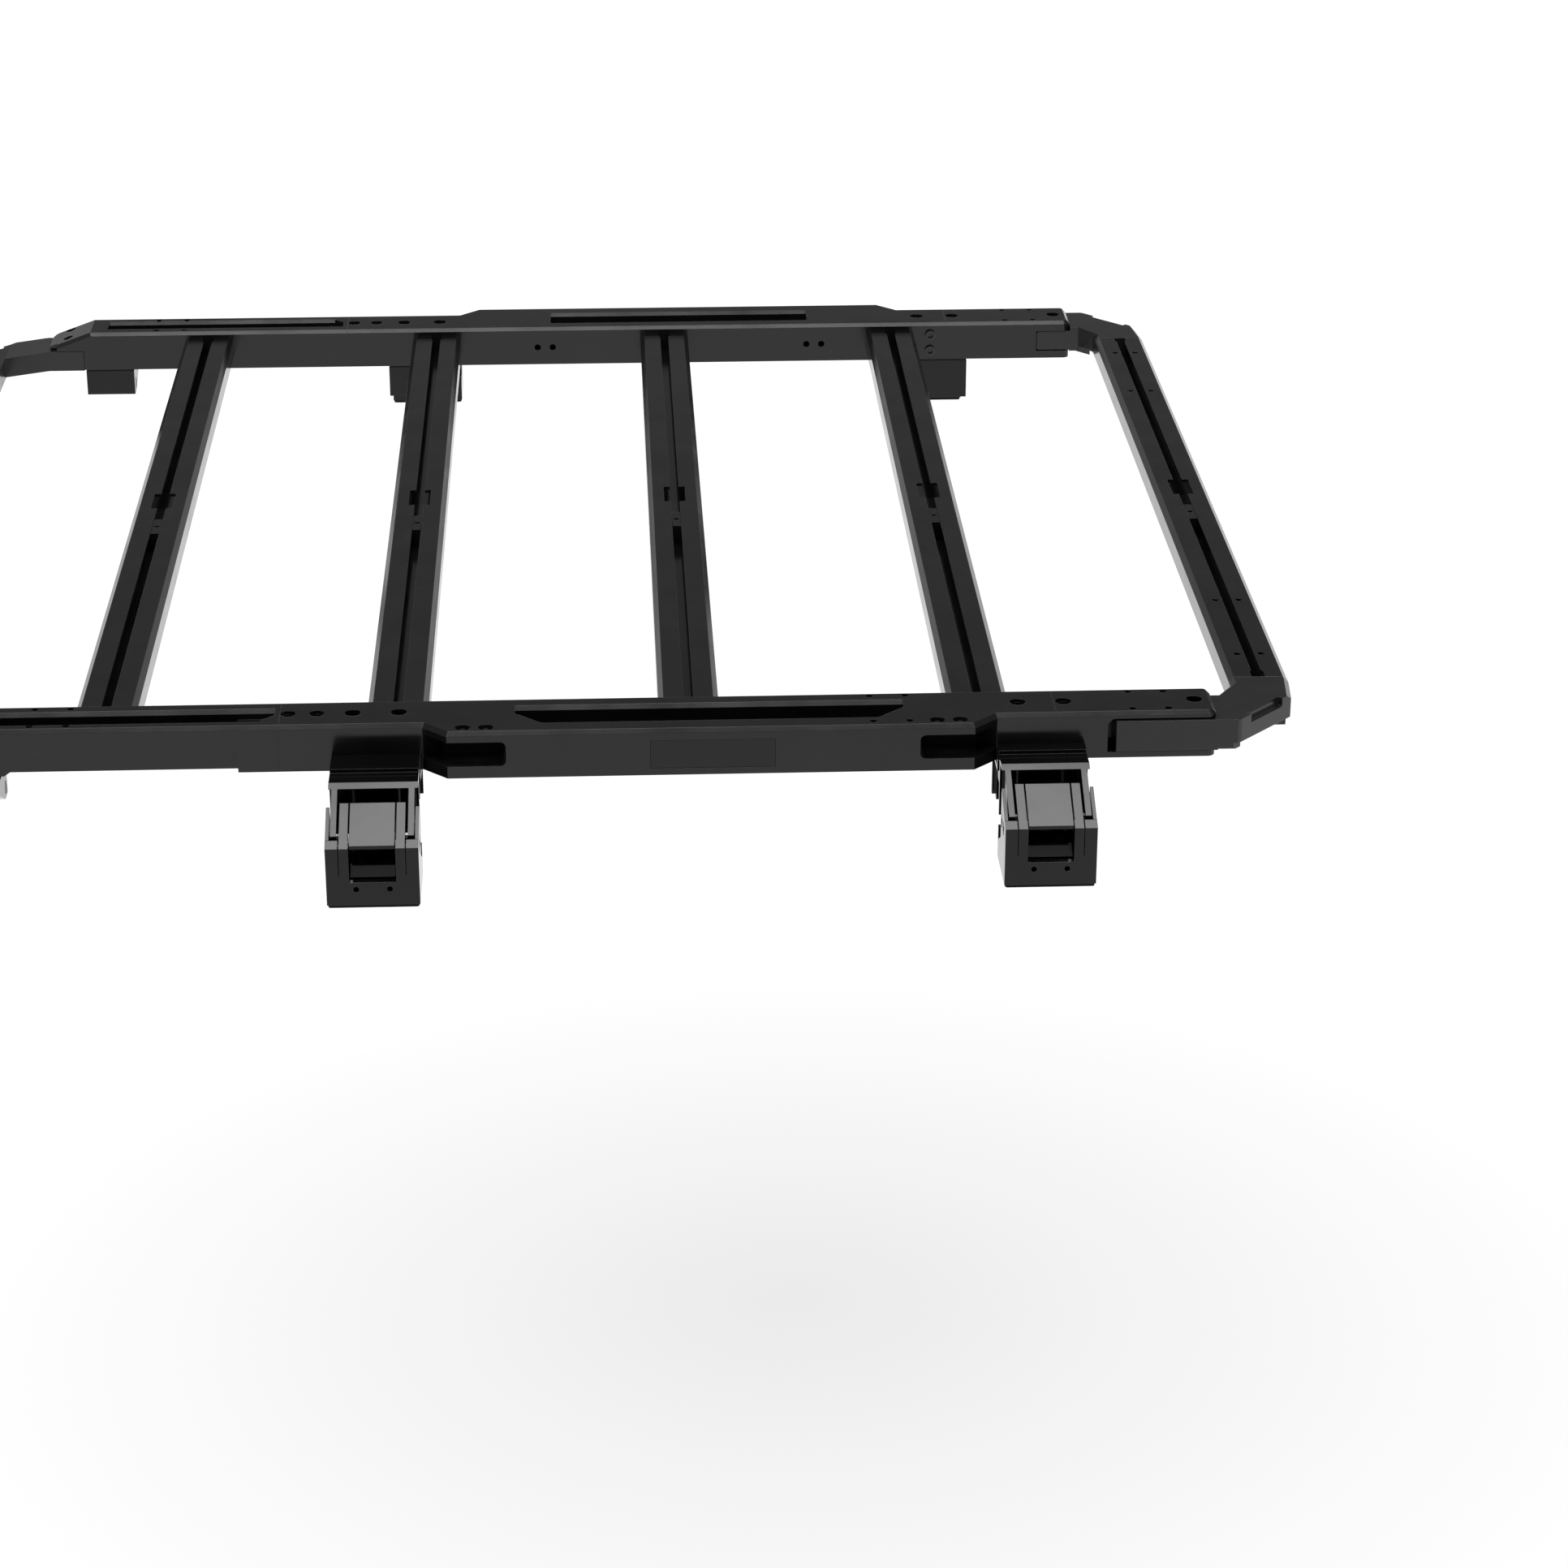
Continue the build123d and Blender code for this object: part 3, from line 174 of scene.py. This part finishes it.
def black_finish(name, shade, roughness, gloss, grain, grain_depth, edge_radius, edge_wear_highlight,
                 stretch=(1, 1, 1), shade_reach=0.02):
    """Near-black coat: cloudy tone, fine surface grain, soft edges a little lighter, partly as
    rubbed wear and partly as painted highlight.

    Painted shade: hollows about as wide as the given distance in metres turn black and lose
    their gloss.
    """
    shader = Shader(name)
    cloud = shader.noise(14.0, detail=4.0, rough=0.6)
    fine = shader.noise(grain, detail=2.0, stretch=stretch)
    darker = tuple(value * 0.78 for value in shade)
    lighter = tuple(value * 1.25 for value in shade)
    body = shader.blend(shader.spread(cloud, 0.0, 1.0), darker, lighter)
    # edges lighter: partly wear, partly painted highlight
    worn_highlit_edge = tuple(value + edge_wear_highlight for value in shade)
    coat = shader.blend(shader.edge(edge_radius), body, worn_highlit_edge)
    # painted shade: hollows found by ambient occlusion go black and lose their gloss
    unshaded = shader.occlusion_mask(shade_reach)
    shader.link(shader.blend(unshaded, PAINTED_SHADE_BLACK, coat), shader.bsdf.inputs["Base Color"])
    shine = shader.spread(unshaded, PAINTED_SHADE_GLOSS, gloss, 0.0, 1.0)
    shader.link(shine, shader.bsdf.inputs["Specular IOR Level"])
    rough = shader.spread(cloud, roughness - 0.03, roughness + 0.04)
    shader.link(rough, shader.bsdf.inputs["Roughness"])
    shader.set(IOR=1.5, Metallic=0.0)
    shader.relief([(fine, grain_depth)], edge_radius)
    return shader.material


def metal(name, colour, roughness, scratch_stretch):
    """Bare metal with fine scratches."""
    shader = Shader(name)
    lines = shader.noise(60.0, detail=5.0, rough=0.65, stretch=scratch_stretch)
    dull = tuple(value * 0.8 for value in colour)
    shade = shader.blend(shader.spread(lines, 0.0, 1.0), dull, colour)
    shader.link(shade, shader.bsdf.inputs["Base Color"])
    rough = shader.spread(lines, roughness - 0.06, roughness + 0.08)
    shader.link(rough, shader.bsdf.inputs["Roughness"])
    shader.set(Metallic=1.0)
    shader.relief([(lines, 0.00002)], 0.0003)
    return shader.material


RUBBER_DARK = (0.002, 0.002, 0.002)
RUBBER_LIGHT = (0.004, 0.004, 0.004)


def rubber(name):
    """Matt black rubber with small pores."""
    shader = Shader(name)
    pores = shader.noise(900.0, detail=3.0)
    cloud = shader.noise(30.0, detail=3.0)
    colour = shader.blend(shader.spread(cloud, 0.0, 1.0), RUBBER_DARK, RUBBER_LIGHT)
    shader.link(colour, shader.bsdf.inputs["Base Color"])
    shader.link(shader.spread(pores, 0.75, 0.9), shader.bsdf.inputs["Roughness"])
    shader.set(Specular_IOR_Level=0.25)
    shader.relief([(pores, 0.00006)], 0.0008)
    return shader.material


COAT = (0.0045, 0.0045, 0.0048)
CAST_COAT = (0.0085, 0.0085, 0.0088)
FOOT_COAT = (0.0022, 0.0022, 0.0024)
ALONG_Y = (1.0, 0.04, 1.0)          # extrusion lines run along the crossbars
ALONG_X = (0.05, 1.0, 1.0)          # and cutter lines along the rails


def paint(name, material):
    data = nodes[name].data
    data.materials.clear()
    data.materials.append(material)


def make_materials():
    rail = black_finish("rail_coat", COAT, 0.13, 0.40, 1400.0, 0.000002, 0.0005, 0.006,
                        shade_reach=0.02)
    bar = black_finish("bar_anodised", COAT, 0.15, 0.40, 900.0, 0.0000015, 0.0004, 0.012,
                       stretch=ALONG_Y)
    cast = black_finish("cast_coat", CAST_COAT, 0.22, 0.40, 700.0, 0.000005, 0.0012, 0.010,
                        shade_reach=0.008)
    foot = black_finish("foot_coat", FOOT_COAT, 0.09, 0.30, 1100.0, 0.000002, 0.0007, 0.015,
                        shade_reach=0.012)
    plate = black_finish("plate_satin", FOOT_COAT, 0.12, 0.36, 2000.0, 0.000001, 0.0003, 0.008)
    screw = black_finish("black_oxide", COAT, 0.25, 0.50, 1500.0, 0.000003, 0.0005, 0.03,
                         shade_reach=0.006)
    zinc = metal("zinc", (0.55, 0.56, 0.58), 0.32, (1, 1, 1))
    bare = metal("machined_aluminium", (0.72, 0.73, 0.74), 0.35, ALONG_X)
    black_rubber = rubber("rubber")
    by_slot = {"black_coat": rail, "plate": plate, "raw_aluminium": bare,
               "black_steel": screw, "zinc_steel": zinc, "rubber": black_rubber}
    by_start = {"crossbar_f": bar, "crossbar_r": bar, "slot_block": bar,
                "front_corner": cast, "rear_corner": cast, "foot_base": foot,
                "foot_bracket": foot, "foot_insert": foot, "front_foot_": foot}
    by_start.update({f"crossbar_{number}": bar for number in range(1, 5)})
    for part in record["subparts"]:
        name = part["node"]
        material = by_slot[part["material_slot"]]
        if part["material_slot"] == "black_coat":
            for start, special in by_start.items():
                if name.startswith(start):
                    material = special
        paint(name, material)


# ---- floor, world and lights ----
FLOOR_HALF = 40.0
FLOOR_GLOW = 1.0
# the floor glows less in a faint painted shadow in front of the rack
SHADOW_PATCH_GLOW = 0.74
SHADOW_PATCH_MIDDLE = (0.2, -1.55, 0.0)
SHADOW_PATCH_SIZE = (0.95, 0.85)


def make_floor():
    """Plain pale floor, nearly white, with a wide and faint painted shadow in front of the rack.
    """
    mesh = bpy.data.meshes.new("floor")
    h = FLOOR_HALF
    corners = [(-h, -h, FLOOR_Z), (h, -h, FLOOR_Z), (h, h, FLOOR_Z), (-h, h, FLOOR_Z)]
    mesh.from_pydata(corners, [], [(0, 1, 2, 3)])
    floor = bpy.data.objects.new("floor", mesh)
    bpy.context.scene.collection.objects.link(floor)
    shader = Shader("pale_floor")
    offset = shader.add("ShaderNodeVectorMath", operation="SUBTRACT")
    offset.inputs[1].default_value = SHADOW_PATCH_MIDDLE
    shader.link(shader.position, offset.inputs[0])
    squash = shader.add("ShaderNodeVectorMath", operation="MULTIPLY")
    squash.inputs[1].default_value = (1 / SHADOW_PATCH_SIZE[0], 1 / SHADOW_PATCH_SIZE[1], 0)
    shader.link(offset.outputs["Vector"], squash.inputs[0])
    length = shader.add("ShaderNodeVectorMath", operation="LENGTH")
    shader.link(squash.outputs["Vector"], length.inputs[0])
    # painted shadow: the floor's glow dips towards the patch middle
    glow = shader.spread(length.outputs["Value"], SHADOW_PATCH_GLOW, FLOOR_GLOW, 0.0, 1.0)
    shader.link(glow, shader.bsdf.inputs["Emission Strength"])
    shader.set(Base_Color=(0.06, 0.06, 0.06, 1.0), Roughness=1.0, Specular_IOR_Level=0.0,
               Emission_Color=(1.0, 1.0, 1.0, 1.0))
    mesh.materials.append(shader.material)


WORLD_STOPS = ((0.12, 0.35), (0.3, 0.14), (0.55, 0.14), (0.8, 0.4), (0.93, 0.8))


def make_world():
    """Dim walls around, brighter towards the ceiling."""
    world = bpy.data.worlds.new("studio")
    bpy.context.scene.world = world
    world.use_nodes = True
    tree = world.node_tree
    place = tree.nodes.new("ShaderNodeTexCoord")
    split = tree.nodes.new("ShaderNodeSeparateXYZ")
    ramp = tree.nodes.new("ShaderNodeValToRGB")
    tree.links.new(place.outputs["Generated"], split.inputs[0])
    tree.links.new(split.outputs["Z"], ramp.inputs[0])
    stops = ramp.color_ramp.elements
    stops[0].position, stops[0].color = 0.0, (1.0, 1.0, 1.0, 1)
    stops[1].position, stops[1].color = 1.0, (1.0, 1.0, 1.0, 1)
    for position, level in WORLD_STOPS:
        stop = stops.new(position)
        stop.color = (level, level, level, 1)
    tree.links.new(ramp.outputs["Color"], tree.nodes["Background"].inputs["Color"])


def make_softbox(name, middle, size, radiance, aim=(0, 0, 0)):
    """Rectangular area light, lit evenly to the given radiance."""
    data = bpy.data.lights.new(name, "AREA")
    data.shape = "RECTANGLE"
    data.size, data.size_y = size
    data.energy = radiance * 3.14159 * size[0] * size[1]
    light = bpy.data.objects.new(name, data)
    light.location = middle
    light.rotation_euler = (Vector(aim) - Vector(middle)).to_track_quat("-Z", "Y").to_euler()
    bpy.context.scene.collection.objects.link(light)


SOFTBOX_XY = (-0.1, -0.93)
SOFTBOX_HEIGHT = 2.9
SOFTBOX_SIZE = (3.6, 1.34)
SOFTBOX_RADIANCE = 7.6


def make_lights():
    x, y = SOFTBOX_XY
    make_softbox("overhead", (x, y, SOFTBOX_HEIGHT), SOFTBOX_SIZE, SOFTBOX_RADIANCE, (x, y, 0.0))


make_camera()
make_materials()
make_floor()
make_world()
make_lights()

scene = bpy.context.scene
scene.view_settings.view_transform = "Standard"
